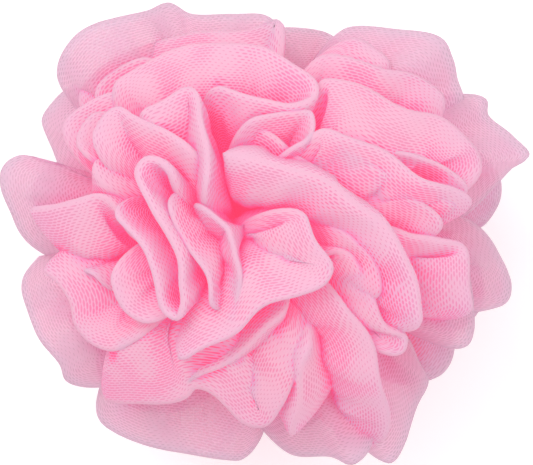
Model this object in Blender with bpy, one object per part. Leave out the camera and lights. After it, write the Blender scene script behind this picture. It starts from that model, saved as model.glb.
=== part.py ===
import math

import bmesh
import bpy
import numpy as np

# Body sponge: a length of soft net tube, gathered round its middle and tied, so that it springs
# open into a ball of folds. It lies with its rosette of folds upwards and flattens where it rests.
# Every fold is a doubled sheet: a thin crest that runs over the ball, and two walls that stand off
# on either side below it and go down to the gathered middle.
# Plan sizes in the tables are in millimetres from the middle of the whole ball.

MM = 0.001
MIDDLE = np.array([-8.0, 0.0, 46.0])
BALL_LENGTH_RADIUS = 75.0
BALL_WIDTH_RADIUS = 66.0
CROWN_RISE = 46.0
CROWN_SQUARENESS = 2.2
CORE_RADII = (33.0, 30.0, 27.0)

SURFACE_HEIGHT = 0.0
THINNEST_NECK = 0.004

# Proportions of one fold: lengths in millimetres, and shares of its own sizes
WALL_REACH = 0.80
FOOT_TAPER = 0.55
END_ROUNDING = 1.6
NARROWEST_END = 0.30
NOSE_ROUNDING = 1.1
SHORTEST_NOSE = 1.0
ROLL_SHARE = 0.55
SHOULDER_FALL = 2.6
SHOULDER_SHARE = 0.32
SPLAY_FALL = 12.0
EVEN_SPLAY = (2.5, 2.5)
ROSETTE_ARCH = 4.0
RUN_ON = (5.0, 5.0)
END_DIVES = (14.0, 14.0)
NOSE_DIVE = 2.5
END_DIVE_LENGTH = 12.0
DENSE_STEPS = 24
ROSETTE_SPACING = 7.4
OUTER_SPACING = 7.5

# Under side: loops of the same netting, each running from near the bottom out to the rim and back.
# A dip is an angle below the level of the middle, and the turn is measured round the ball.
UNDER_SHRINK = 0.93
UNDER_DEPTH = 56.0
UNDER_LOOPS = 10
UNDER_ROLL = 2.8
UNDER_STAGGER = 0.22
UNDER_OUT_STEP = 0.05
UNDER_LOWER_STEP = 0.05
LOOP_SHAPE = ((0.55, 1.28), (0.34, 0.86), (0.06, 0.44), (0.26, 0.14), (0.50, 0.40), (0.78, 0.88))

# Folds of the rosette, each as the plan of its crest. The crest lies on the crown of the ball,
# higher or lower by its lift; roll is the size of its rounded crest at start and end, and splay is
# how far its left and right walls stand off below the crest, as one value or as values spaced
# evenly along it. Arch is how far the fold bows upwards between the crest and the middle, and
# run_on is how far its ends go on under its neighbours.
ROSETTE = {
    "right_tongue": dict(
        plan=[(-12, 21), (-7, 20), (0, 17), (12, 14), (22, 8), (30, 2), (37, -7), (41, -18), (43, -30)],
        lift=5, roll=(6.0, 4.0), splay=([7, 6, 5, 4, 3], [7, 6, 5, 4, 3]), arch=0, run_on=(0, 5)),
    "right_tongue_upper": dict(
        plan=[(-10, 26), (-5, 27), (2, 25), (9, 20), (16, 15), (23, 10)],
        lift=-3, roll=(3.0, 2.5), splay=(2, 3)),
    "ear": dict(
        plan=[(-9, 28), (-1, 30), (7, 32), (12, 32), (13, 30), (12, 25), (7, 22), (2, 20)],
        lift=0, roll=(2.5, 2.5), splay=(1.5, 1.5)),
    "top_loop": dict(
        plan=[(-45, 36), (-41, 41), (-35, 45), (-24, 50), (-11, 51), (-1, 50), (7, 45), (13, 40), (13, 36),
              (7, 33), (-1, 35), (-10, 38), (-18, 40)],
        lift=1, roll=(5.0, 3.0), splay=(1, [4, 8, 9, 8, 5, 3, 2, 2, 2])),
    "top_left_fold": dict(
        plan=[(-58, 23), (-55, 31), (-48, 36), (-41, 38), (-34, 40)],
        lift=-1, roll=(3.0, 3.0), splay=(1, 4)),
    "left_peak": dict(
        plan=[(-17, 19), (-22, 22), (-29, 27), (-36, 31), (-41, 33), (-44, 31), (-47, 26), (-49, 20)],
        lift=3, roll=(3.0, 2.5), splay=(6, 1)),
    "left_high": dict(
        plan=[(-50, 21), (-47, 17), (-45, 13), (-43, 9)],
        lift=-1, roll=(2.5, 2.5), splay=(6, 12)),
    "pocket": dict(
        plan=[(-38, 31), (-30, 34), (-21, 38), (-18, 30), (-16, 23), (-16, 18), (-17, 12), (-19, 8)],
        lift=4, roll=(2.5, 2.5), splay=(1, 6)),
    "left_roll": dict(
        plan=[(-27, 12), (-27, 16), (-30, 18), (-33, 18), (-35, 15), (-34, 11), (-31, 5), (-27, -1),
              (-24, -8), (-23, -15), (-22, -21), (-24, -25), (-27, -23), (-29, -16), (-33, -8), (-38, 1),
              (-43, 8)],
        lift=5, roll=(5.0, 3.0), splay=(0.5, 0.5)),
    "left_petal": dict(
        plan=[(-42, -8), (-42, -16), (-39, -22), (-34, -25), (-27, -26)],
        lift=2, roll=(2.5, 2.5), splay=(6, 1)),
    "left_curl": dict(
        plan=[(-53, -14), (-51, -12), (-49, -12), (-47, -13), (-46, -16), (-46, -19)],
        lift=-3, roll=(2.0, 2.0), splay=(1, 1)),
    "second_slot": dict(
        plan=[(-28, 11), (-25, 2), (-21, -5), (-17, -13), (-15, -21), (-12, -25)],
        lift=3, roll=(2.2, 2.2), splay=(2, 0.5)),
    "centre_curl": dict(
        plan=[(-22, 8), (-14, 3), (-10, 0), (-9, -4), (-9, -9), (-7, -16), (-7, -22), (-10, -26),
              (-15, -27)],
        lift=1, roll=(2.2, 2.2), splay=(1, 5)),
    "lower_panel": dict(
        plan=[(6, 5), (10, 4), (14, -4), (18, -11), (16, -15), (9, -18), (0, -22), (-9, -28), (-18, -34),
              (-27, -38)],
        lift=3, roll=(1.6, 2.4), splay=(1, [6, 6, 6, 6, 6, 6, 6, 5, 4, 3]), arch=9),
    "inner_ring": dict(
        plan=[(-7, -1), (-4, 2), (1, 5), (6, 5)],
        lift=-8, roll=(3.0, 3.0), splay=(2, 3)),
    "right_second": dict(
        plan=[(19, 2), (23, -2), (29, -8), (31, -16), (32, -22)],
        lift=0, roll=(2.5, 2.5), splay=(1.5, 3)),
    "right_third": dict(
        plan=[(16, -10), (19, -6), (23, -7), (26, -13), (30, -21), (34, -27), (38, -30), (37, -34),
              (32, -36)],
        lift=-2, roll=(3.0, 2.5), splay=(2, 4)),
    "lower_right": dict(
        plan=[(18, -15), (23, -23), (29, -33), (32, -44), (34, -56), (29, -61)],
        lift=-3, roll=(3.0, 3.0), splay=(1, 8)),
    "lower_right_inner": dict(
        plan=[(14, -29), (10, -39), (8, -50), (8, -60)],
        lift=-3, roll=(3.0, 3.0), splay=([8, 14, 17, 16, 10], 2)),
    "lower_lobe": dict(
        plan=[(-49, -46), (-41, -48), (-31, -48), (-23, -46), (-19, -44), (-11, -49), (-4, -54), (0, -54),
              (4, -49), (9, -39), (14, -30)],
        lift=-4, roll=(3.0, 3.0), splay=([12, 14, 14, 11, 8, 7, 6, 6], 1), arch=9),
    "left_pocket": dict(
        plan=[(-65, -10), (-58, -14), (-54, -20), (-53, -26), (-49, -31), (-43, -33), (-36, -30),
              (-30, -27)],
        lift=-3, roll=(3.0, 3.0), splay=(6, 1)),
    "left_middle": dict(
        plan=[(-69, 5), (-61, 6), (-53, 8), (-46, 9), (-42, 6), (-39, 1), (-37, -5)],
        lift=-2, roll=(3.0, 2.5), splay=(1, [8, 12, 14, 13, 9, 5, 3])),
    "left_high_inner": dict(
        plan=[(-49, 18), (-52, 25), (-48, 32), (-43, 35)],
        lift=-1, roll=(3.0, 3.0), splay=(1, 4)),
    "top_band": dict(
        plan=[(-54, 34), (-51, 41), (-45, 47), (-34, 52), (-21, 55), (-5, 56), (3, 59), (5, 53)],
        lift=-6, roll=(4.0, 4.0), splay=(1, 5), arch=8),
    "top_band_inner": dict(
        plan=[(-50, 35), (-45, 42), (-38, 47), (-29, 50)],
        lift=-3, roll=(2.5, 2.5), splay=(1, 3), arch=4),
    "right_upper": dict(
        plan=[(10, 24), (16, 27), (22, 25), (32, 20), (41, 15), (50, 11), (60, 6)],
        lift=1, roll=(3.0, 2.5), splay=(1, 5)),
    "right_upper_inner": dict(
        plan=[(12, 23), (17, 24), (22, 21), (29, 17), (37, 14), (44, 11), (56, 5)],
        lift=-1, roll=(2.5, 2.5), splay=(1, 5)),
    "right_low": dict(
        plan=[(30, 11), (32, 12), (38, 10), (45, 5), (49, 1), (51, -2)],
        lift=-2, roll=(2.5, 2.5), splay=(1, 4), run_on=(0, 5)),
    "right_panel": dict(
        plan=[(33, 3), (40, -2), (47, -4), (55, -5), (56, -16), (58, -26)],
        lift=-4, roll=(3.0, 3.0), splay=(1, 6), arch=4),
    "top_ridge": dict(
        plan=[(11, 46), (18, 48), (26, 47), (32, 45), (42, 43), (49, 38), (53, 34)],
        lift=-5, roll=(3.0, 2.5), splay=(1, 5)),
    "top_right": dict(
        plan=[(12, 37), (16, 41), (24, 40), (34, 35), (40, 33), (51, 29), (57, 24), (59, 20), (59, 11)],
        lift=-2, roll=(3.0, 2.5), splay=(1, [5, 9, 12, 13, 13, 12, 9, 6, 3])),
    "top_right_inner": dict(
        plan=[(30, 22), (38, 21), (46, 18), (54, 13), (59, 10)],
        lift=-2, roll=(2.0, 2.5), splay=(3, 1), run_on=(0, 5)),
    "top_ridge_upper": dict(
        plan=[(21, 56), (25, 54), (31, 50), (38, 46)],
        lift=-4, roll=(2.5, 2.5), splay=(1, 5)),
    "lower_face": dict(
        plan=[(9, -22), (1, -27), (-7, -33), (-12, -37), (-18, -41), (-22, -45)],
        lift=-2, roll=(2.5, 2.0), splay=([6, 10, 12, 10, 6, 2], 1), arch=6, run_on=(5, 0)),
}

# Broad outer flaps, which make the outline: the plan of each free crest and its height
FLAP_ROLL = 2.0
FLAP_ARCH = 10.0
FLAP_WAVE = 6.0
FLAP_DIVES = (5.0, 5.0)
FLAP_SPLAY = (1.0, 1.0)
FLAP_WAVES_ROUND = 9
FLAPS = {
    "flap_top_left": (56, [(-54, 33), (-59, 44), (-54, 54), (-47, 58), (-34, 62), (-27, 65), (-22, 62),
                           (-10, 61), (0, 60), (5, 56), (6, 51)]),
    "flap_top": (46, [(-5, 57), (5, 58), (19, 57), (26, 53)]),
    "flap_top_right": (54, [(14, 51), (19, 56), (23, 58), (36, 57), (49, 54), (52, 49), (55, 43),
                            (60, 40)]),
    "flap_right": (48, [(55, 42), (63, 38), (63, 34), (70, 27), (74, 22), (69, 18), (64, 12), (61, 5)]),
    "flap_right_low": (44, [(60, 5), (63, 0), (69, -11), (70, -14), (68, -21), (63, -24)]),
    "flap_lower_right": (54, [(57, -5), (58, -16), (58, -27), (56, -32), (51, -33), (44, -31)]),
    "flap_bottom_right": (44, [(44, -32), (44, -37), (46, -42), (43, -49), (39, -60), (35, -65),
                               (28, -62), (23, -65)]),
    "flap_bottom": (50, [(34, -56), (24, -65), (18, -63), (10, -63), (5, -62), (-1, -60)]),
    "flap_bottom_left": (46, [(2, -54), (-2, -60), (-7, -64), (-12, -64), (-23, -62), (-34, -60),
                              (-44, -56), (-48, -53), (-50, -46)]),
    "flap_left_low": (50, [(-49, -47), (-56, -42), (-58, -37), (-63, -31), (-67, -23), (-70, -13),
                           (-69, -7)]),
    "flap_left": (54, [(-67, -7), (-71, 4), (-74, 12), (-74, 17), (-70, 22), (-65, 21)]),
    "flap_left_top": (46, [(-61, 18), (-61, 24), (-64, 32), (-61, 38), (-58, 45)]),
}

NET_PINK = (0.96, 0.42, 0.60, 1.0)
NET_ROUGHNESS = 0.55


def crown_height(x, y, lift):
    """Height of the ball's upper side at a place in plan."""
    out = min(math.hypot(x / BALL_LENGTH_RADIUS, y / BALL_WIDTH_RADIUS), 1.0)
    return MIDDLE[2] + CROWN_RISE * math.sqrt(1.0 - out**CROWN_SQUARENESS) + lift


def smooth_path(points, spacing):
    """Stations at an even spacing along a smooth curve through the points."""
    points = np.array(points, float)
    steps = np.linalg.norm(np.diff(points, axis=0), axis=1) ** 0.5
    knots = np.concatenate([[0.0], np.cumsum(steps)])
    slopes = np.gradient(points, knots, axis=0)
    dense = []
    for i in range(len(points) - 1):
        span = knots[i + 1] - knots[i]
        for t in np.linspace(0.0, 1.0, DENSE_STEPS, endpoint=i == len(points) - 2):
            dense.append(
                (2 * t**3 - 3 * t**2 + 1) * points[i]
                + (t**3 - 2 * t**2 + t) * span * slopes[i]
                + (3 * t**2 - 2 * t**3) * points[i + 1]
                + (t**3 - t**2) * span * slopes[i + 1]
            )
    dense = np.array(dense)
    lengths = np.concatenate([[0.0], np.cumsum(np.linalg.norm(np.diff(dense, axis=0), axis=1))])
    count = max(3, round(lengths[-1] / spacing) + 1)
    at = np.linspace(0.0, lengths[-1], count)
    return np.stack([np.interp(at, lengths, dense[:, axis]) for axis in range(3)], axis=1), lengths[-1]


def unit(vectors):
    return vectors / np.linalg.norm(vectors, axis=1, keepdims=True)


def run_on(crest, lengths):
    """The crest carried on past both its ends, where it goes under its neighbours."""
    crest = [np.array(point, float) for point in crest]
    first = crest[0] - crest[1]
    last = crest[-1] - crest[-2]
    if lengths[0] > 0:
        crest.insert(0, crest[0] + first / np.linalg.norm(first) * lengths[0])
    if lengths[1] > 0:
        crest.append(crest[-1] + last / np.linalg.norm(last) * lengths[1])
    return crest


def rounded(to_end, length):
    """0 at an end of a fold and 1 from that length on, on a round curve."""
    return math.sqrt(1.0 - (1.0 - min(to_end / length, 1.0)) ** 2)


def spread_at(spread, s, to_end):
    """How far a wall stands off, from one value or from values spaced evenly along the crest."""
    values = np.atleast_1d(spread)
    at = np.interp(s, np.linspace(0.0, 1.0, len(values)), values)
    return at * rounded(to_end, NOSE_ROUNDING * values.max() + SHORTEST_NOSE)


def add_fold(name, crest, roll, spacing, splay=EVEN_SPLAY, arch=0.0, dives=END_DIVES):
    """One doubled sheet: its crest follows the points, and its walls go in towards the middle."""
    path, length = smooth_path(crest, spacing)
    inward = MIDDLE - path
    distance = np.linalg.norm(inward, axis=1)
    side = unit(np.cross(np.gradient(path, axis=0), inward))
    upward = np.array([0.0, 0.0, 1.0]) - unit(inward) * unit(inward)[:, 2:3]
    upward = unit(upward)
    mesh = bmesh.new()
    rings = []
    for i, station in enumerate(path):
        s = i / (len(path) - 1)
        half = ROLL_SHARE * (roll[0] + (roll[1] - roll[0]) * s)
        to_end = min(s, 1.0 - s) * length
        half *= max(rounded(to_end, END_ROUNDING * half), NARROWEST_END)
        left, right = (spread_at(spread, s, to_end) for spread in splay)
        dive = dives[0] * max(1.0 - s * length / END_DIVE_LENGTH, 0.0) ** 2
        dive += dives[1] * max(1.0 - (1.0 - s) * length / END_DIVE_LENGTH, 0.0) ** 2
        dive /= distance[i]
        shoulder_share = dive + SHOULDER_FALL / distance[i]
        splay_share = dive + SPLAY_FALL / distance[i]
        foot = half * (1.0 - FOOT_TAPER * WALL_REACH)
        ring = []
        for share, width in (
            (WALL_REACH, -foot),
            (splay_share, -half - right),
            (shoulder_share, -half - right * SHOULDER_SHARE),
            (dive, 0.0),
            (shoulder_share, half + left * SHOULDER_SHARE),
            (splay_share, half + left),
            (WALL_REACH, foot),
        ):
            place = station + inward[i] * share + side[i] * width
            place = place + upward[i] * arch * 4.0 * share * (1.0 - share)
            place[2] = max(place[2], SURFACE_HEIGHT)
            ring.append(mesh.verts.new(place * MM))
        rings.append(ring)
    for first, second in zip(rings, rings[1:]):
        for j, near in enumerate(first):
            after = (j + 1) % len(first)
            mesh.faces.new((near, first[after], second[after], second[j]))
    mesh.faces.new(rings[0][::-1])
    mesh.faces.new(rings[-1])
    bmesh.ops.triangulate(mesh, faces=mesh.faces)
    bmesh.ops.recalc_face_normals(mesh, faces=mesh.faces)
    if mesh.calc_volume(signed=True) < 0.0:
        bmesh.ops.reverse_faces(mesh, faces=mesh.faces)
    data = bpy.data.meshes.new(name)
    mesh.to_mesh(data)
    mesh.free()
    fold = bpy.data.objects.new(name, data)
    fold.hide_render = True
    fold.display_type = "WIRE"
    folds.objects.link(fold)


def under_point(turn, dip, out):
    """A place on the under side of the ball before it settles on the surface below it."""
    reach = UNDER_SHRINK * out * math.cos(dip)
    return (
        BALL_LENGTH_RADIUS * reach * math.cos(turn),
        BALL_WIDTH_RADIUS * reach * math.sin(turn),
        MIDDLE[2] - UNDER_DEPTH * math.sin(dip),
    )


def add_under_loops():
    for i in range(UNDER_LOOPS):
        start = math.tau * (i + UNDER_STAGGER * (i % 3)) / UNDER_LOOPS
        out = 1.0 - UNDER_OUT_STEP * (i % 2)
        lower = UNDER_LOWER_STEP * (i % 3)
        crest = [under_point(start + turn, dip + lower, out) for turn, dip in LOOP_SHAPE]
        add_fold(f"under_loop_{i:02d}", crest, (UNDER_ROLL, UNDER_ROLL), OUTER_SPACING)


def flap_height(level, x, y):
    return level + FLAP_WAVE * math.sin(FLAP_WAVES_ROUND * math.atan2(y, x))


def across(face, edge, way):
    """The next face round an edge: through the open air when way is 1, through the solid when it is -1."""
    axis = (edge.verts[1].co - edge.verts[0].co).normalized()

    def arm(other):
        reach = other.calc_center_median() - edge.verts[0].co
        return reach - axis * reach.dot(axis)

    start = arm(face).normalized()
    turn_to = face.normal * way
    def turn(other):
        return math.atan2(arm(other).dot(turn_to), arm(other).dot(start)) % math.tau

    return min((other for other in edge.link_faces if other is not face), key=turn)


def islands_of(mesh, way):
    """The faces round each space that hangs together."""
    left = set(mesh.faces)
    while left:
        island = []
        waiting = [left.pop()]
        while waiting:
            face = waiting.pop()
            island.append(face)
            for edge in face.edges:
                near = across(face, edge, way)
                if near in left:
                    left.remove(near)
                    waiting.append(near)
        yield island


def close_rings(mesh):
    """Closes each ring of edges from which the merging of near points dropped a face."""
    rings = [edge for edge in mesh.edges if len(edge.link_faces) % 2]
    closed = bmesh.ops.edgeloop_fill(mesh, edges=rings)["faces"]
    for face in closed:
        loop = next(loop for loop in face.loops if len(loop.edge.link_faces) == 2)
        if loop.link_loop_radial_next.vert is loop.vert:
            face.normal_flip()
    bmesh.ops.triangulate(mesh, faces=closed)


def meet_at_points(mesh):
    """Draws in each edge along which two walls only just touch, so that they meet at a point of it."""
    while True:
        touching = [edge for edge in mesh.edges if len(edge.link_faces) > 2]
        if not touching:
            return
        first, second = touching[0].verts
        bmesh.ops.pointmerge(mesh, verts=[first, second], merge_co=(first.co + second.co) / 2.0)


def keep_outer_shell(solid):
    """Bakes the union, fills the small pockets that crossing folds close off and drops loose crumbs."""
    graph = bpy.context.evaluated_depsgraph_get()
    mesh = bmesh.new()
    mesh.from_mesh(solid.evaluated_get(graph).data)
    solid.modifiers.clear()
    bmesh.ops.remove_doubles(mesh, verts=mesh.verts, dist=THINNEST_NECK * MM)
    bmesh.ops.triangulate(mesh, faces=mesh.faces)
    close_rings(mesh)
    for way in (1, -1):
        mesh.normal_update()
        islands = sorted(islands_of(mesh, way), key=len)
        for small in islands[:-1]:
            bmesh.ops.delete(mesh, geom=small, context="FACES")
    meet_at_points(mesh)
    mesh.to_mesh(solid.data)
    mesh.free()


for old in list(bpy.data.objects):
    bpy.data.objects.remove(old, do_unlink=True)

folds = bpy.data.collections.new("folds")
bpy.context.scene.collection.children.link(folds)

for fold_name, fold in ROSETTE.items():
    crest_line = [(x, y, crown_height(x, y, fold["lift"])) for x, y in fold["plan"]]
    lengths = fold.get("run_on", RUN_ON)
    crest_line = run_on(crest_line, lengths)
    dives = [dive if past > 0 else NOSE_DIVE for dive, past in zip(END_DIVES, lengths)]
    arch = fold.get("arch", ROSETTE_ARCH)
    add_fold(fold_name, crest_line, fold["roll"], ROSETTE_SPACING, fold["splay"], arch, dives)
for fold_name, (level, plan) in FLAPS.items():
    crest_line = [(x, y, flap_height(level, x, y)) for x, y in plan]
    roll = (FLAP_ROLL, FLAP_ROLL)
    add_fold(fold_name, crest_line, roll, OUTER_SPACING, FLAP_SPLAY, FLAP_ARCH, FLAP_DIVES)
add_under_loops()

# The gathered middle, packed solid, which carries every fold
bpy.ops.mesh.primitive_ico_sphere_add(subdivisions=3, radius=1.0, location=MIDDLE * MM)
netting = bpy.context.object
netting.name = "netting"
netting.data.name = "netting"
for vertex in netting.data.vertices:
    vertex.co = [c * r * MM for c, r in zip(vertex.co, CORE_RADII)]

join = netting.modifiers.new("folds", "BOOLEAN")
join.operation = "UNION"
join.operand_type = "COLLECTION"
join.collection = folds
join.solver = "EXACT"
join.use_self = True
keep_outer_shell(netting)

net = bpy.data.materials.new("netting")
net.use_nodes = True
shader = net.node_tree.nodes["Principled BSDF"]
shader.inputs["Base Color"].default_value = NET_PINK
shader.inputs["Roughness"].default_value = NET_ROUGHNESS
shader.inputs["Metallic"].default_value = 0.0
netting.data.materials.append(net)
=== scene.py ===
import math

import bpy
import numpy as np
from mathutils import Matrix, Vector, noise
from mathutils.bvhtree import BVHTree


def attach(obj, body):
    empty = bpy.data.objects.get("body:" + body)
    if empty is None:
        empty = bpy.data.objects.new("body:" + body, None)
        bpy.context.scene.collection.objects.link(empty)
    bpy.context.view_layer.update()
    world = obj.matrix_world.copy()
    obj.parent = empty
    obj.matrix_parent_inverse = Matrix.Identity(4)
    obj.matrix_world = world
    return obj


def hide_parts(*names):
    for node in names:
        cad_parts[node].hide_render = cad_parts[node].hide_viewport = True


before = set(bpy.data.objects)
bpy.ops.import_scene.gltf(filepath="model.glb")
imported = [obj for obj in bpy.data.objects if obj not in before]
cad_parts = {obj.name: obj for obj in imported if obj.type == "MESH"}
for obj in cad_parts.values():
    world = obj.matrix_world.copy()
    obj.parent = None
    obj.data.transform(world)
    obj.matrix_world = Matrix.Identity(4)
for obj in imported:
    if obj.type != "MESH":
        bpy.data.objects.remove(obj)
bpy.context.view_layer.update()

# Body sponge: one net tube gathered round its middle, so that it opens into a ball of doubled folds.
# The plans below are millimetres from the middle of the ball, as in the solid.

MM = 0.001
MIDDLE = np.array([-8.0, 0.0, 46.0])
BALL_LENGTH_RADIUS = 75.0
BALL_WIDTH_RADIUS = 66.0
CROWN_RISE = 46.0
CROWN_SQUARENESS = 2.2

# One fold of net: its stations along the crest and rows down each wall
STATION_SPACING = 1.05
SPAN_STEPS = 24
WALL_ROWS = 21
ROW_CROWDING = 1.55
WALL_REACH = 0.86

# Its rolled crest, and how both ends close and dive under their neighbours
CREST_DEPTH = 1.3
LEAST_HALF_ROLL = 0.4
END_ROUNDING = 1.6
NOSE_ROUNDING = 1.1
SHORTEST_NOSE = 1.0
RUN_ON = (5.0, 5.0)
END_DIVES = (14.0, 14.0)
NOSE_DIVE = 2.5
END_DIVE_LENGTH = 12.0

# Its walls: how they stand apart under the crest and draw in towards the tied middle
ROLL_SHARE = 0.27
PINCH = 0.15
PINCH_START = 1.3
PINCH_LENGTH = 5.0
WALL_TAPER = 0.5
SPLAY_FALLS = (0.0, 1.5, 4.5, 9.0, 12.0, 17.0, 26.0)
SPLAY_SHARES = (0.0, 0.20, 0.56, 0.92, 1.0, 0.80, 0.30)
EVEN_SPLAY = (2.5, 2.5)
ROSETTE_ARCH = 4.0
LEAST_HEIGHT = 0.15

# Its waves, crumples and sharp puffs, in millimetres. The last two come in below the crest and fade
# again towards the middle
SWAY = dict(waves=3, shortest=18.0, longest=34.0, stretch=1.0)
SWAY_HEIGHT = 0.7
CRUMPLE = dict(waves=5, shortest=3.4, longest=8.0, stretch=2.2)
CRUMPLE_HEIGHT = 0.30
PUFF = dict(waves=4, shortest=9.0, longest=20.0)
PUFF_HEIGHT = 0.8
RIPPLE_LEAN = 0.5
CREASE_LEAN = 0.8
CREASE_LEVEL = 1.3
GATHERS_FROM = 14.0
GATHERS_LOST = 0.6
FLAP_WRINKLE = 0.7
ROSETTE_SEED = 100
FLAP_SEED = 200
UNDER_SEED = 300

# Under side: the crest of each loop as turns round the ball and dips below its middle, in radians
UNDER_SHRINK = 0.93
UNDER_DEPTH = 56.0
UNDER_LOOPS = 10
UNDER_ROLL = 2.8
LOOP_SHAPE = ((0.55, 1.28), (0.34, 0.86), (0.06, 0.44), (0.26, 0.14), (0.50, 0.40), (0.78, 0.88))
LOOP_TURN = 0.22
LOOP_PULL_IN = 0.05
LOOP_DIP = 0.05

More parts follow.
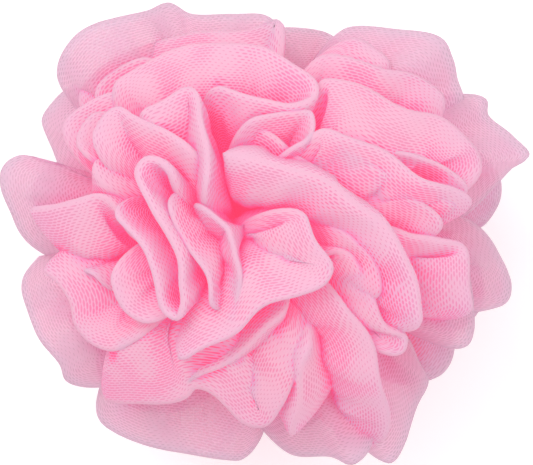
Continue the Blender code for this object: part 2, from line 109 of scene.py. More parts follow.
# The rosette: each crest as the photograph shows it from above, the lift of its crest over the ball, the
# width of its roll at both ends, and how far its left and right walls splay
ROSETTE = {
    "right_tongue": dict(
        plan=[(-12, 21), (-7, 20), (0, 17), (12, 14), (22, 8), (30, 2), (37, -7), (41, -18), (43, -30)],
        lift=5, roll=(6.0, 4.0), splay=([7, 6, 5, 4, 3], [7, 6, 5, 4, 3]), arch=0, run_on=(0, 5)),
    "right_tongue_upper": dict(
        plan=[(-10, 26), (-5, 27), (2, 25), (9, 20), (16, 15), (23, 10)],
        lift=-3, roll=(3.0, 2.5), splay=(2, 3)),
    "ear": dict(
        plan=[(-9, 28), (-1, 30), (7, 32), (12, 32), (13, 30), (12, 25), (7, 22), (2, 20)],
        lift=0, roll=(2.5, 2.5), splay=(1.5, 1.5)),
    "top_loop": dict(
        plan=[(-45, 36), (-41, 41), (-35, 45), (-24, 50), (-11, 51), (-1, 50), (7, 45), (13, 40), (13, 36),
              (7, 33), (-1, 35), (-10, 38), (-18, 40)],
        lift=1, roll=(5.0, 3.0), splay=(1, [4, 8, 9, 8, 5, 3, 2, 2, 2])),
    "top_left_fold": dict(
        plan=[(-58, 23), (-55, 31), (-48, 36), (-41, 38), (-34, 40)],
        lift=-1, roll=(3.0, 3.0), splay=(1, 4)),
    "left_peak": dict(
        plan=[(-17, 19), (-22, 22), (-29, 27), (-36, 31), (-41, 33), (-44, 31), (-47, 26), (-49, 20)],
        lift=3, roll=(3.0, 2.5), splay=(6, 1)),
    "left_high": dict(
        plan=[(-50, 21), (-47, 17), (-45, 13), (-43, 9)],
        lift=-1, roll=(2.5, 2.5), splay=(6, 12)),
    "pocket": dict(
        plan=[(-38, 31), (-30, 34), (-21, 38), (-18, 30), (-16, 23), (-16, 18), (-17, 12), (-19, 8)],
        lift=4, roll=(2.5, 2.5), splay=(1, 6)),
    "left_roll": dict(
        plan=[(-27, 12), (-27, 16), (-30, 18), (-33, 18), (-35, 15), (-34, 11), (-31, 5), (-27, -1),
              (-24, -8), (-23, -15), (-22, -21), (-24, -25), (-27, -23), (-29, -16), (-33, -8), (-38, 1),
              (-43, 8)],
        lift=5, roll=(5.0, 3.0), splay=(0.5, 0.5)),
    "left_petal": dict(
        plan=[(-42, -8), (-42, -16), (-39, -22), (-34, -25), (-27, -26)],
        lift=2, roll=(2.5, 2.5), splay=(6, 1)),
    "left_curl": dict(
        plan=[(-53, -14), (-51, -12), (-49, -12), (-47, -13), (-46, -16), (-46, -19)],
        lift=-3, roll=(2.0, 2.0), splay=(1, 1)),
    "second_slot": dict(
        plan=[(-28, 11), (-25, 2), (-21, -5), (-17, -13), (-15, -21), (-12, -25)],
        lift=3, roll=(2.2, 2.2), splay=(2, 0.5)),
    "centre_curl": dict(
        plan=[(-22, 8), (-14, 3), (-10, 0), (-9, -4), (-9, -9), (-7, -16), (-7, -22), (-10, -26),
              (-15, -27)],
        lift=1, roll=(2.2, 2.2), splay=(1, 5)),
    "lower_panel": dict(
        plan=[(6, 5), (10, 4), (14, -4), (18, -11), (16, -15), (9, -18), (0, -22), (-9, -28), (-18, -34),
              (-27, -38)],
        lift=3, roll=(1.6, 2.4), splay=(1, [6, 6, 6, 6, 6, 6, 6, 5, 4, 3]), arch=9),
    "inner_ring": dict(
        plan=[(-7, -1), (-4, 2), (1, 5), (6, 5)],
        lift=-8, roll=(3.0, 3.0), splay=(2, 3)),
    "right_second": dict(
        plan=[(19, 2), (23, -2), (29, -8), (31, -16), (32, -22)],
        lift=0, roll=(2.5, 2.5), splay=(1.5, 3)),
    "right_third": dict(
        plan=[(16, -10), (19, -6), (23, -7), (26, -13), (30, -21), (34, -27), (38, -30), (37, -34),
              (32, -36)],
        lift=-2, roll=(3.0, 2.5), splay=(2, 4)),
    "lower_right": dict(
        plan=[(18, -15), (23, -23), (29, -33), (32, -44), (34, -56), (29, -61)],
        lift=-3, roll=(3.0, 3.0), splay=(1, 8)),
    "lower_right_inner": dict(
        plan=[(14, -29), (10, -39), (8, -50), (8, -60)],
        lift=-3, roll=(3.0, 3.0), splay=([8, 14, 17, 16, 10], 2)),
    "lower_lobe": dict(
        plan=[(-49, -46), (-41, -48), (-31, -48), (-23, -46), (-19, -44), (-11, -49), (-4, -54), (0, -54),
              (4, -49), (9, -39), (14, -30)],
        lift=-4, roll=(3.0, 3.0), splay=([12, 14, 14, 11, 8, 7, 6, 6], 1), arch=9),
    "left_pocket": dict(
        plan=[(-65, -10), (-58, -14), (-54, -20), (-53, -26), (-49, -31), (-43, -33), (-36, -30),
              (-30, -27)],
        lift=-3, roll=(3.0, 3.0), splay=(6, 1)),
    "left_middle": dict(
        plan=[(-69, 5), (-61, 6), (-53, 8), (-46, 9), (-42, 6), (-39, 1), (-37, -5)],
        lift=-2, roll=(3.0, 2.5), splay=(1, [8, 12, 14, 13, 9, 5, 3])),
    "left_high_inner": dict(
        plan=[(-49, 18), (-52, 25), (-48, 32), (-43, 35)],
        lift=-1, roll=(3.0, 3.0), splay=(1, 4)),
    "top_band": dict(
        plan=[(-54, 34), (-51, 41), (-45, 47), (-34, 52), (-21, 55), (-5, 56), (3, 59), (5, 53)],
        lift=-6, roll=(4.0, 4.0), splay=(1, 5), arch=8),
    "top_band_inner": dict(
        plan=[(-50, 35), (-45, 42), (-38, 47), (-29, 50)],
        lift=-3, roll=(2.5, 2.5), splay=(1, 3), arch=4),
    "right_upper": dict(
        plan=[(10, 24), (16, 27), (22, 25), (32, 20), (41, 15), (50, 11), (60, 6)],
        lift=1, roll=(3.0, 2.5), splay=(1, 5)),
    "right_upper_inner": dict(
        plan=[(12, 23), (17, 24), (22, 21), (29, 17), (37, 14), (44, 11), (56, 5)],
        lift=-1, roll=(2.5, 2.5), splay=(1, 5)),
    "right_low": dict(
        plan=[(30, 11), (32, 12), (38, 10), (45, 5), (49, 1), (51, -2)],
        lift=-2, roll=(2.5, 2.5), splay=(1, 4), run_on=(0, 5)),
    "right_panel": dict(
        plan=[(33, 3), (40, -2), (47, -4), (55, -5), (56, -16), (58, -26)],
        lift=-4, roll=(3.0, 3.0), splay=(1, 6), arch=4),
    "top_ridge": dict(
        plan=[(11, 46), (18, 48), (26, 47), (32, 45), (42, 43), (49, 38), (53, 34)],
        lift=-5, roll=(3.0, 2.5), splay=(1, 5)),
    "top_right": dict(
        plan=[(12, 37), (16, 41), (24, 40), (34, 35), (40, 33), (51, 29), (57, 24), (59, 20), (59, 11)],
        lift=-2, roll=(3.0, 2.5), splay=(1, [5, 9, 12, 13, 13, 12, 9, 6, 3])),
    "top_right_inner": dict(
        plan=[(30, 22), (38, 21), (46, 18), (54, 13), (59, 10)],
        lift=-2, roll=(2.0, 2.5), splay=(3, 1), run_on=(0, 5)),
    "top_ridge_upper": dict(
        plan=[(21, 56), (25, 54), (31, 50), (38, 46)],
        lift=-4, roll=(2.5, 2.5), splay=(1, 5)),
    "lower_face": dict(
        plan=[(9, -22), (1, -27), (-7, -33), (-12, -37), (-18, -41), (-22, -45)],
        lift=-2, roll=(2.5, 2.0), splay=([6, 10, 12, 10, 6, 2], 1), arch=6, run_on=(5, 0)),
}

# The outer flaps: the height of each crest, and its plan
FLAP_ROLL = 2.0
FLAP_ARCH = 10.0
FLAP_WAVE = 6.0
FLAP_DIVES = (5.0, 5.0)
FLAP_SPLAY = (1.0, 1.0)
FLAP_WAVES_ROUND = 9
FLAPS = {
    "flap_top_left": (56, [(-54, 33), (-59, 44), (-54, 54), (-47, 58), (-34, 62), (-27, 65), (-22, 62),
                           (-10, 61), (0, 60), (5, 56), (6, 51)]),
    "flap_top": (46, [(-5, 57), (5, 58), (19, 57), (26, 53)]),
    "flap_top_right": (54, [(14, 51), (19, 56), (23, 58), (36, 57), (49, 54), (52, 49), (55, 43),
                            (60, 40)]),
    "flap_right": (48, [(55, 42), (63, 38), (63, 34), (70, 27), (74, 22), (69, 18), (64, 12), (61, 5)]),
    "flap_right_low": (44, [(60, 5), (63, 0), (69, -11), (70, -14), (68, -21), (63, -24)]),
    "flap_lower_right": (54, [(57, -5), (58, -16), (58, -27), (56, -32), (51, -33), (44, -31)]),
    "flap_bottom_right": (44, [(44, -32), (44, -37), (46, -42), (43, -49), (39, -60), (35, -65),
                               (28, -62), (23, -65)]),
    "flap_bottom": (50, [(34, -56), (24, -65), (18, -63), (10, -63), (5, -62), (-1, -60)]),
    "flap_bottom_left": (46, [(2, -54), (-2, -60), (-7, -64), (-12, -64), (-23, -62), (-34, -60),
                              (-44, -56), (-48, -53), (-50, -46)]),
    "flap_left_low": (50, [(-49, -47), (-56, -42), (-58, -37), (-63, -31), (-67, -23), (-70, -13),
                           (-69, -7)]),
    "flap_left": (54, [(-67, -7), (-71, 4), (-74, 12), (-74, 17), (-70, 22), (-65, 21)]),
    "flap_left_top": (46, [(-61, 18), (-61, 24), (-64, 32), (-61, 38), (-58, 45)]),
}

# The net's cells, in millimetres along the crest and down the wall, and how far their rows wander
CELL_LENGTH = 1.95
CELL_ROW = 0.82
CELL_DRIFT = 1.4
CELL_DRIFT_SIZE = 4.0
ROW_DRIFT = 2.4

# How far apart two drifts of different seeds are read
DRIFT_SHIFT = (37.0, 71.0, 13.0)

# The slit in each cell, as shares of the cell, and how the net closes it: all the way on the crest,
# and more or less in patches
SLIT_LENGTH = 0.52
SLIT_WIDTH = 0.38
SLIT_EDGE = 0.78
SLIT_CLOSING = 0.74
EDGE_SHARPNESS = 3.2
CREST_CLOSING = 1.8
CREST_OPENING = 1.2
MOST_CREST_CLOSING = 1.3
PATCH_CLOSING = 0.35
PATCH_DRIFT = 2.2
PATCH_SIZE = 8.0
MOST_PATCH_CLOSING = 0.8

# How the net shuts each place in, which sets the painted shade of the folds: rays go out to RAY_REACH, in rings
# about the way out of the ball
RAY_RINGS = ((0.25, 4), (0.70, 6), (1.15, 8))
RAY_REACH = 26.0
RAY_START = 0.8
RAY_STEP = 2
RAY_SIDE = (0.0, 0.3, 1.0)

# How deep a place looks, as painted shade: by how shut in it is, how near the middle and how far down its wall,
# with random tone in mottled patches. The slits are painted deeper still, as painted shade of the folds seen
# through them, and the gaps between rows look deeper too
SHUT_SHADE_SHARE = 0.72
DEPTH_SHARE = 0.15
FALL_SHARE = 0.004
MOTTLE_SHARE = 0.16
MOTTLE_SIZE = 10.0
OUTER_PALER = 0.1
ALL_PALER = 0.06
SLIT_PAINTED_SHADE = 0.4
ROW_DEEPER = 0.08

# Colours of the net, from a crest in the light to the red-pink of the gathered middle, whose depth is painted
# shade: first how it takes the light that falls on it, then a painted glow that stands in for light bounced
# among the folds behind, then the light that it lets through
DEPTHS = (0.0, 0.06, 0.30, 0.55, 0.85)
ROSETTE_PINKS = (
    (0.81, 0.64, 0.78), (0.81, 0.64, 0.77), (0.77, 0.50, 0.69), (0.76, 0.24, 0.46), (0.78, 0.09, 0.21))
ROSETTE_PAINTED_GLOWS = (
    (0.08, 0.025, 0.04), (0.08, 0.025, 0.04), (0.14, 0.05, 0.10), (0.37, 0.080, 0.18), (0.58, 0.07, 0.15))
ROSETTE_THROUGH = (0.78, 0.42, 0.61)
# The flaps and the under side take a greyer, darker copy of the same pinks and glows, as painted shade for net
# that is lit less
FLAP_PINKS = (
    (0.76, 0.62, 0.73), (0.75, 0.60, 0.72), (0.74, 0.50, 0.66), (0.73, 0.29, 0.47), (0.72, 0.14, 0.27))
FLAP_PAINTED_GLOWS = (
    (0.05, 0.02, 0.03), (0.05, 0.02, 0.03), (0.11, 0.06, 0.09), (0.30, 0.08, 0.15), (0.46, 0.07, 0.13))
FLAP_THROUGH = (0.74, 0.46, 0.62)

# How much of the light on the net goes through it
THROUGH_SHARE = 0.40


def unit(vectors):
    """The vectors at a length of 1."""
    return vectors / np.maximum(np.linalg.norm(vectors, axis=-1, keepdims=True), 1e-9)


def crown_height(x, y, lift):
    """Height of the ball's upper side at a place in plan."""
    out = min(math.hypot(x / BALL_LENGTH_RADIUS, y / BALL_WIDTH_RADIUS), 1.0)
    return MIDDLE[2] + CROWN_RISE * math.sqrt(1.0 - out**CROWN_SQUARENESS) + lift


def smooth_path(points, spacing):
    """Stations at an even spacing along a smooth curve through the points."""
    points = np.array(points, float)
    steps = np.linalg.norm(np.diff(points, axis=0), axis=1) ** 0.5
    knots = np.concatenate([[0.0], np.cumsum(steps)])
    slopes = np.gradient(points, knots, axis=0)
    dense = []
    for i in range(len(points) - 1):
        span = knots[i + 1] - knots[i]
        t = np.linspace(0.0, 1.0, SPAN_STEPS, endpoint=i == len(points) - 2)[:, None]
        dense.append(
            (2 * t**3 - 3 * t**2 + 1) * points[i]
            + (t**3 - 2 * t**2 + t) * span * slopes[i]
            + (3 * t**2 - 2 * t**3) * points[i + 1]
            + (t**3 - t**2) * span * slopes[i + 1]
        )
    dense = np.concatenate(dense)
    lengths = np.concatenate([[0.0], np.cumsum(np.linalg.norm(np.diff(dense, axis=0), axis=1))])
    count = max(3, round(lengths[-1] / spacing) + 1)
    at = np.linspace(0.0, lengths[-1], count)
    return np.stack([np.interp(at, lengths, dense[:, axis]) for axis in range(3)], axis=1), lengths[-1]


def run_on(crest, lengths):
    """The crest carried on past both its ends, where it goes under its neighbours."""
    crest = np.array(crest, float)
    before = crest[0] - unit(crest[1] - crest[0]) * lengths[0]
    after = crest[-1] + unit(crest[-1] - crest[-2]) * lengths[1]
    return [before] * (lengths[0] > 0) + list(crest) + [after] * (lengths[1] > 0)


def rounded(to_end, length):
    """0 at an end of a fold and 1 from that length on, on a round curve."""
    return np.sqrt(1.0 - (1.0 - np.clip(to_end / length, 0.0, 1.0)) ** 2)


def ripple(rng, along, down, waves, shortest, longest, stretch):
    """The height of a few crossing waves of random lengths over the net."""
    height = np.zeros(np.broadcast(along, down).shape)
    for _ in range(waves):
        length = rng.uniform(shortest, longest)
        lean = rng.uniform(-RIPPLE_LEAN, RIPPLE_LEAN)
        phase = rng.uniform(0.0, 2.0 * math.pi)
        height += np.sin(2.0 * math.pi * (along + lean * down / stretch) / length + phase)
    return height / waves**0.5


def crease(rng, along, down, waves, shortest, longest):
    """The height of crossing folds with sharp ridges, which net takes when it is crushed."""
    height = np.zeros(np.broadcast(along, down).shape)
    for _ in range(waves):
        length = rng.uniform(shortest, longest)
        lean = rng.uniform(-CREASE_LEAN, CREASE_LEAN)
        phase = rng.uniform(0.0, math.pi)
        height += CREASE_LEVEL - 2.0 * np.abs(np.sin(math.pi * (along + lean * down) / length + phase))
    return height / waves**0.5


def splayed(splay, s):
    """How far one wall stands out along its fold, from one value or from several spread evenly over it."""
    return np.interp(s, np.linspace(0.0, 1.0, np.size(splay)), np.atleast_1d(splay))


def fold_net(crest, roll, seed, splay=EVEN_SPLAY, arch=0.0, wrinkle=1.0, dives=END_DIVES):
    """One doubled sheet of net as a grid, from the foot of one wall over the crest to the other foot."""
    rng = np.random.default_rng(seed)
    path, length = smooth_path(crest, STATION_SPACING)
    stations = len(path)
    s = np.linspace(0.0, 1.0, stations)
    along = s * length
    inward = MIDDLE - path
    distance = np.linalg.norm(inward, axis=1)
    side = unit(np.cross(np.gradient(path, axis=0), inward))
    upward = unit(np.array([0.0, 0.0, 1.0]) - unit(inward) * unit(inward)[:, 2:3])

    half = ROLL_SHARE * (roll[0] + (roll[1] - roll[0]) * s)
    to_end = np.minimum(s, 1.0 - s) * length
    half = half * rounded(to_end, END_ROUNDING * half)
    spreads = [splayed(one, s) for one in splay]
    spreads = [spread * rounded(to_end, NOSE_ROUNDING * spread.max() + SHORTEST_NOSE) for spread in spreads]
    dive = dives[0] * np.clip(1.0 - s * length / END_DIVE_LENGTH, 0.0, 1.0) ** 2
    dive += dives[1] * np.clip(1.0 - (1.0 - s) * length / END_DIVE_LENGTH, 0.0, 1.0) ** 2

    rows = np.linspace(0.0, 1.0, WALL_ROWS + 1)[None, :]
    reach = WALL_REACH * distance[:, None] - dive[:, None]
    depth = dive[:, None] + reach * rows**ROW_CROWDING
    share = depth / distance[:, None]
    fall = depth - dive[:, None]
    crest_round = np.clip(fall / (CREST_DEPTH * np.maximum(half[:, None], LEAST_HALF_ROLL)), 0.0, 1.0)
    width = half[:, None] * np.sqrt(1.0 - (1.0 - crest_round) ** 2)
    pinch = np.clip((fall - PINCH_START * half[:, None]) / (PINCH_LENGTH * roll[0]), 0.0, 1.0)
    width = width * (1.0 - PINCH * pinch * pinch * (3.0 - 2.0 * pinch)) * (1.0 - WALL_TAPER * share)
    stand_off = np.interp(fall, SPLAY_FALLS, SPLAY_SHARES)

    gathers = np.clip(fall / GATHERS_FROM, 0.0, 1.0) * (1.0 - GATHERS_LOST * share)
    sway = ripple(rng, along[:, None], fall, **SWAY) * SWAY_HEIGHT * (1.0 - WALL_TAPER * share)
    walls = []
    for sign, spread in ((-1.0, spreads[1][:, None]), (1.0, spreads[0][:, None])):
        crumple = ripple(rng, along[:, None], fall, **CRUMPLE) * CRUMPLE_HEIGHT * wrinkle * gathers
        puff = crease(rng, along[:, None], fall, **PUFF) * PUFF_HEIGHT * wrinkle * gathers
        offset = sign * (width + spread * stand_off) + sway + crumple + puff
        wall = path[:, None, :] + inward[:, None, :] * share[..., None]
        wall = wall + side[:, None, :] * offset[..., None]
        wall = wall + upward[:, None, :] * (arch * 4.0 * share * (1.0 - share))[..., None]
        walls.append(wall)
    grid = np.concatenate([walls[0][:, :0:-1], walls[1]], axis=1)
    grid[:, WALL_ROWS] = (walls[0][:, 0] + walls[1][:, 0]) / 2.0
    grid[..., 2] = np.maximum(grid[..., 2], LEAST_HEIGHT)

    down = np.concatenate(
        [np.zeros((stations, 1)), np.cumsum(np.linalg.norm(np.diff(grid, axis=1), axis=2), axis=1)], axis=1
    )
    down -= down[:, WALL_ROWS : WALL_ROWS + 1]
    layout = np.stack([np.broadcast_to(along[:, None], down.shape), down], axis=2)
    return grid, layout


def depth_in_ball(places):
    """0 on the outside of the ball and 1 at its gathered middle."""
    away = places - MIDDLE
    length_radius = BALL_LENGTH_RADIUS - MIDDLE[0] * np.sign(away[..., 0])
    plan = np.hypot(away[..., 0] / length_radius, away[..., 1] / BALL_WIDTH_RADIUS)
    return np.clip(1.0 - np.hypot(plan, away[..., 2] / CROWN_RISE), 0.0, 1.0)


def faces_of(grid, start):
    """The four-sided faces of a grid whose places are numbered from start."""
    stations, columns = grid.shape[:2]
    index = start + np.arange(stations * columns).reshape(stations, columns)
    corners = [index[:-1, :-1], index[1:, :-1], index[1:, 1:], index[:-1, 1:]]
    return np.stack(corners, axis=2).reshape(-1, 4)


def joined(grids):
    """All the grids as one list of places and one of faces."""
    starts = np.cumsum([0] + [grid.shape[0] * grid.shape[1] for grid in grids])
    faces = [faces_of(grid, start) for grid, start in zip(grids, starts)]
    return np.concatenate([grid.reshape(-1, 3) for grid in grids]), np.concatenate(faces)


def shut_in(grid, net):
    """How far the net closes in each place of a fold, from 0 in the open to 1 deep between folds, for the
    painted shade of the net.
    """
    rays = [
        (math.sin(tilt) * math.cos(turn), math.sin(tilt) * math.sin(turn), math.cos(tilt))
        for tilt, count in RAY_RINGS
        for turn in (np.arange(count) + 0.5 * tilt) * math.tau / count
    ]
    rows = np.arange(0, grid.shape[0], RAY_STEP)
    columns = np.arange(0, grid.shape[1], RAY_STEP)
    coarse = grid[rows][:, columns]
    out = unit(coarse - MIDDLE)
    first = unit(np.cross(out, RAY_SIDE))
    second = np.cross(out, first)
    starts = (coarse + out * RAY_START).reshape(-1, 3)
    blocked = np.zeros(len(starts))
    for x, y, z in rays:
        ways = (first * x + second * y + out * z).reshape(-1, 3)
        for number, (start, way) in enumerate(zip(starts.tolist(), ways.tolist())):
            hit = net.ray_cast(start, way, RAY_REACH)[3]
            if hit is not None:
                blocked[number] += 1.0 - hit / RAY_REACH
    shut = (blocked / len(rays)).reshape(coarse.shape[:2])
    shut = np.stack([np.interp(np.arange(grid.shape[1]), columns, row) for row in shut])
    return np.stack([np.interp(np.arange(grid.shape[0]), rows, column) for column in shut.T], axis=1)


def drift(places, size, seed):
    """Smooth random values between about -0.5 and 0.5, which change over the given size."""
    shift = np.array(DRIFT_SHIFT) * seed
    return np.array([0.5 * noise.noise(Vector(place)) for place in (places / size + shift).tolist()])


def net_piece(name, folds, outer, net, material):
    """One mesh of net from several folds, with the lie of its cells, the painted shade of how deep it looks,
    and how closed it is.
    """
    grids = [grid for grid, _ in folds]
    places, faces = joined(grids)
    layout = np.concatenate([layout.reshape(-1, 2) for _, layout in folds])
    mottle = drift(places, MOTTLE_SIZE, 1)
    cells = layout / (CELL_LENGTH, CELL_ROW)
    cells[:, 0] += drift(places, CELL_DRIFT_SIZE, 2) * CELL_DRIFT
    cells[:, 1] += mottle * ROW_DRIFT

    from_crest = np.abs(layout[:, 1])
    crest = np.clip(CREST_CLOSING - CREST_OPENING * from_crest, 0.0, MOST_CREST_CLOSING)
    patches = PATCH_CLOSING + PATCH_DRIFT * drift(places, PATCH_SIZE, 3)
    closed = np.maximum(crest, np.clip(patches, 0.0, MOST_PATCH_CLOSING))
    shut = np.concatenate([shut_in(grid, net).ravel() for grid in grids])
    # Painted shade: the colour deepens where rays find the net shut in, towards the middle of the ball and down
    # each wall; the mottle is random tone
    deep = SHUT_SHADE_SHARE * shut + DEPTH_SHARE * depth_in_ball(places) + FALL_SHARE * from_crest
    deep += MOTTLE_SHARE * mottle - OUTER_PALER * outer - ALL_PALER

    mesh = bpy.data.meshes.new(name)
    mesh.from_pydata(places * MM, [], faces)
    lie = mesh.uv_layers.new(name="cells")
    lie.data.foreach_set("uv", cells[faces.ravel()].astype(np.float32).ravel())
    for attribute, value in (("deep", deep), ("closed", closed)):
        layer = mesh.attributes.new(attribute, "FLOAT", "POINT")
        layer.data.foreach_set("value", value.astype(np.float32))
    mesh.shade_smooth()
    mesh.materials.append(material)
    piece = bpy.data.objects.new(name, mesh)
    bpy.context.scene.collection.objects.link(piece)
    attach(piece, "root")
    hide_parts("netting")
    return piece


class Socket:
    """A shader value, so that shader maths reads as plain expressions."""

    def __init__(self, tree, link):
        self.tree = tree
        self.link = link

    def maths(self, operation, *others):
        values = {i: other for i, other in enumerate((self, *others))}
        return self.tree.node("ShaderNodeMath", dict(operation=operation), values)

    def __add__(self, other):
        return self.maths("ADD", other)

    def __sub__(self, other):
        return self.maths("SUBTRACT", other)

    def __mul__(self, other):
        return self.maths("MULTIPLY", other)

    def __truediv__(self, other):
        return self.maths("DIVIDE", other)

    def __pow__(self, other):
        return self.maths("POWER", other)

    __radd__ = __add__
    __rmul__ = __mul__

    def __rsub__(self, other):
        return (self * -1.0) + other

    def floor(self):
        return self.maths("FLOOR")

    def fraction(self):
        return self.maths("FRACT")

    def clamp(self):
        return self.maths("MAXIMUM", 0.0).maths("MINIMUM", 1.0)


class Shader:
    """The node tree of one material."""

    def __init__(self, name):
        self.material = bpy.data.materials.new(name)
        self.material.use_nodes = True
        self.nodes = self.material.node_tree.nodes
        self.links = self.material.node_tree.links
        self.nodes.clear()

    def node(self, kind, settings, values, output=0):
        """A new node with its settings, then the numbers, colours or links of its sockets."""
        made = self.nodes.new(kind)
        for setting, value in settings.items():
            if setting == "stops":
                ramp = made.color_ramp
                while len(ramp.elements) < len(value):
                    ramp.elements.new(0.5)
                for element, (position, colour) in zip(ramp.elements, value):
                    element.position = position
                    element.color = (*colour, 1.0)
            else:
                setattr(made, setting, value)
        for socket, value in values.items():
            if isinstance(value, Socket):
                self.links.new(value.link, made.inputs[socket])
            else:
                made.inputs[socket].default_value = value
        return Socket(self, made.outputs[output]) if made.outputs else None


def net_material(name, pinks, painted_glows, through, slit_painted_shade, cover, haze):
    """Soft net: brick-set cells at their real size, paler on the crests and deeper in the folds by painted
    shade, with a painted glow in the folds.
    """
    net = Shader(name)
    lie = net.node("ShaderNodeUVMap", dict(uv_map="cells"), {})
    deep = net.node("ShaderNodeAttribute", dict(attribute_name="deep"), {}, output=2)
    closed = net.node("ShaderNodeAttribute", dict(attribute_name="closed"), {}, output=2)

    # 1 on the threads and 0 in the slit at the middle of each cell
    along = net.node("ShaderNodeSeparateXYZ", {}, {0: lie}, output=0)
    row = net.node("ShaderNodeSeparateXYZ", {}, {0: lie}, output=1)
    across = along + row.floor().maths("MODULO", 2.0) * 0.5
    from_middle_x = (across.fraction() - 0.5) / SLIT_LENGTH
    from_middle_y = (row.fraction() - 0.5) / SLIT_WIDTH
    ring = (from_middle_x * from_middle_x + from_middle_y * from_middle_y) ** 0.5
    thread = ((ring + closed * SLIT_CLOSING - SLIT_EDGE) * EDGE_SHARPNESS).clamp()

    in_row = 1.0 - (row.fraction() - 0.5).maths("ABSOLUTE") * 2.0
    # Painted shade in the slits, standing in for the shaded folds seen through them
    deep = deep + (1.0 - thread) * (deep * SLIT_PAINTED_SHADE + slit_painted_shade) + in_row * ROW_DEEPER
    colour = net.node("ShaderNodeValToRGB", dict(stops=list(zip(DEPTHS, pinks))), {0: deep})
    # Painted glow: emission that stands in for light bounced among the folds, strongest where the painted shade
    # is deepest
    painted_glow = net.node("ShaderNodeValToRGB", dict(stops=list(zip(DEPTHS, painted_glows))), {0: deep})

    cloth = net.node(
        "ShaderNodeBsdfPrincipled",
        {},
        {"Base Color": colour, "Roughness": 0.6, "Metallic": 0.0, "Specular IOR Level": 0.2,
         "Emission Color": painted_glow, "Emission Strength": 1.0},
    )
    glow = net.node("ShaderNodeBsdfTranslucent", {}, {"Color": (*through, 1.0)})
    lit = net.node("ShaderNodeMixShader", {}, {0: THROUGH_SHARE, 1: cloth, 2: glow})
    clear = net.node("ShaderNodeBsdfTransparent", {}, {})
    whole = net.node("ShaderNodeMixShader", {}, {0: thread * cover + haze, 1: clear, 2: lit})
    net.node("ShaderNodeOutputMaterial", {}, {0: whole})
    return net.material


def under_point(turn, dip, out):
    """A place on the under side of the ball before it settles on the surface below it."""
    reach = UNDER_SHRINK * out * math.cos(dip)
    return (
        BALL_LENGTH_RADIUS * reach * math.cos(turn),
        BALL_WIDTH_RADIUS * reach * math.sin(turn),
        MIDDLE[2] - UNDER_DEPTH * math.sin(dip),
    )


def under_loops():
    """The ring of wide loops that the ball rests on."""
    for i in range(UNDER_LOOPS):
        start = 2.0 * math.pi * (i + LOOP_TURN * (i % 3)) / UNDER_LOOPS
        out = 1.0 - LOOP_PULL_IN * (i % 2)
        lower = LOOP_DIP * (i % 3)
        crest = [under_point(start + turn, dip + lower, out) for turn, dip in LOOP_SHAPE]
        yield fold_net(crest, (UNDER_ROLL, UNDER_ROLL), UNDER_SEED + i)


def rosette_folds():
    """The folds that the photograph shows on top."""
    for number, fold in enumerate(ROSETTE.values()):
        crest = [(x, y, crown_height(x, y, fold["lift"])) for x, y in fold["plan"]]
        lengths = fold.get("run_on", RUN_ON)
        crest = run_on(crest, lengths)
        dives = [dive if past > 0 else NOSE_DIVE for dive, past in zip(END_DIVES, lengths)]
        arch = fold.get("arch", ROSETTE_ARCH)
        yield fold_net(crest, fold["roll"], ROSETTE_SEED + number, fold["splay"], arch, 1.0, dives)


def outer_flaps():
    """The thin flaps round the rosette, whose crests rise and fall."""
    roll = (FLAP_ROLL, FLAP_ROLL)
    for number, (level, plan) in enumerate(FLAPS.values()):
        crest = [(x, y, level + FLAP_WAVE * math.sin(FLAP_WAVES_ROUND * math.atan2(y, x))) for x, y in plan]
        yield fold_net(crest, roll, FLAP_SEED + number, FLAP_SPLAY, FLAP_ARCH, FLAP_WRINKLE, FLAP_DIVES)


# cover is how much more a thread hides than a slit does, and haze is how much a slit hides
# The deeper colour given to the slits is painted shade of the folds seen through them
close_net = net_material(
    "close_net", ROSETTE_PINKS, ROSETTE_PAINTED_GLOWS, ROSETTE_THROUGH, slit_painted_shade=0.38, cover=0.20, haze=0.80)
open_net = net_material(
    "open_net", FLAP_PINKS, FLAP_PAINTED_GLOWS, FLAP_THROUGH, slit_painted_shade=0.18, cover=0.24, haze=0.56)
under_side_net = net_material(
    "under_side_net", FLAP_PINKS, FLAP_PAINTED_GLOWS, FLAP_THROUGH, slit_painted_shade=0.24, cover=0.20, haze=0.72)

# The netting
rosette_part = list(rosette_folds())
flap_part = list(outer_flaps())
under_part = list(under_loops())
every_place, every_face = joined([grid for grid, _ in rosette_part + flap_part + under_part])
whole_net = BVHTree.FromPolygons(every_place.tolist(), every_face.tolist())
rosette = net_piece("rosette_net", rosette_part, 0.0, whole_net, close_net)
flaps = net_piece("outer_flap_net", flap_part, 1.0, whole_net, open_net)
under = net_piece("under_net", under_part, 0.6, whole_net, under_side_net)


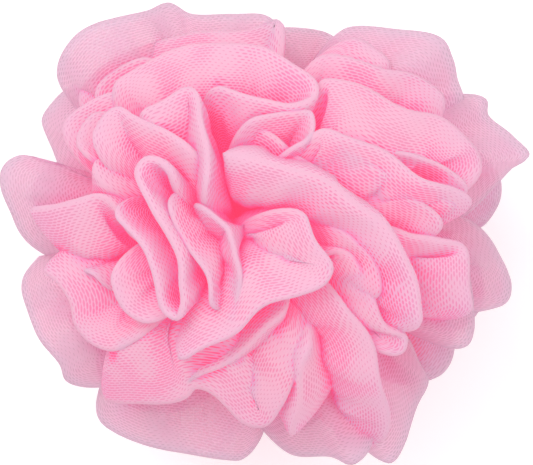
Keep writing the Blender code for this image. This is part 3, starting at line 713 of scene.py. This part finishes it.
def floor_material(name, tone, lift):
    """Pale and plain, a little brighter to the camera, so that it comes out white beyond the shadow."""
    stage = Shader(name)
    seen = stage.node("ShaderNodeLightPath", {}, {}, output=0)
    surface = stage.node(
        "ShaderNodeBsdfPrincipled",
        {},
        {"Base Color": (tone, tone, tone, 1.0), "Roughness": 0.9, "Emission Color": (1.0, 1.0, 1.0, 1.0),
         "Emission Strength": seen * lift},
    )
    stage.node("ShaderNodeOutputMaterial", {}, {0: surface})
    return stage.material


# Pale floor
bpy.ops.mesh.primitive_plane_add(size=6.0, location=(0.0, 0.0, 0.0))
floor = bpy.context.object
floor.name = "floor"
floor.data.materials.append(floor_material("pale_floor", tone=0.90, lift=0.22))

AIM = Vector((0.0, 0.0, 0.050))

# Soft studio light
world = bpy.data.worlds.new("studio")
bpy.context.scene.world = world
world.use_nodes = True
world.node_tree.nodes["Background"].inputs["Color"].default_value = (1.0, 1.0, 1.0, 1.0)
world.node_tree.nodes["Background"].inputs["Strength"].default_value = 0.88


def soft_lamp(name, place, size, power):
    """A square lamp that faces the middle of the ball."""
    lamp = bpy.data.lights.new(name, "AREA")
    lamp.size = size
    lamp.energy = power
    holder = bpy.data.objects.new(name, lamp)
    holder.location = place
    holder.rotation_mode = "QUATERNION"
    holder.rotation_quaternion = (AIM - Vector(place)).to_track_quat("-Z", "Y")
    bpy.context.scene.collection.objects.link(holder)


soft_lamp("upper_left_lamp", (-0.45, 0.50, 0.95), 0.7, 5.0)
soft_lamp("right_lamp", (0.7, -0.2, 0.7), 0.8, 2.0)

# The camera looks down on the rosette
VIEW_WIDTH = 0.150
CAMERA_DISTANCE = 0.90
CAMERA_TILT = math.radians(2.0)
SENSOR_WIDTH = 36.0
camera_data = bpy.data.cameras.new("camera")
camera_data.sensor_width = SENSOR_WIDTH
camera_data.lens = SENSOR_WIDTH * CAMERA_DISTANCE / VIEW_WIDTH
camera = bpy.data.objects.new("camera", camera_data)
camera.location = AIM + CAMERA_DISTANCE * Vector((0.0, -math.sin(CAMERA_TILT), math.cos(CAMERA_TILT)))
camera.rotation_euler = (CAMERA_TILT, 0.0, 0.0)
bpy.context.scene.collection.objects.link(camera)
bpy.context.scene.camera = camera

bpy.context.scene.view_settings.view_transform = "Standard"
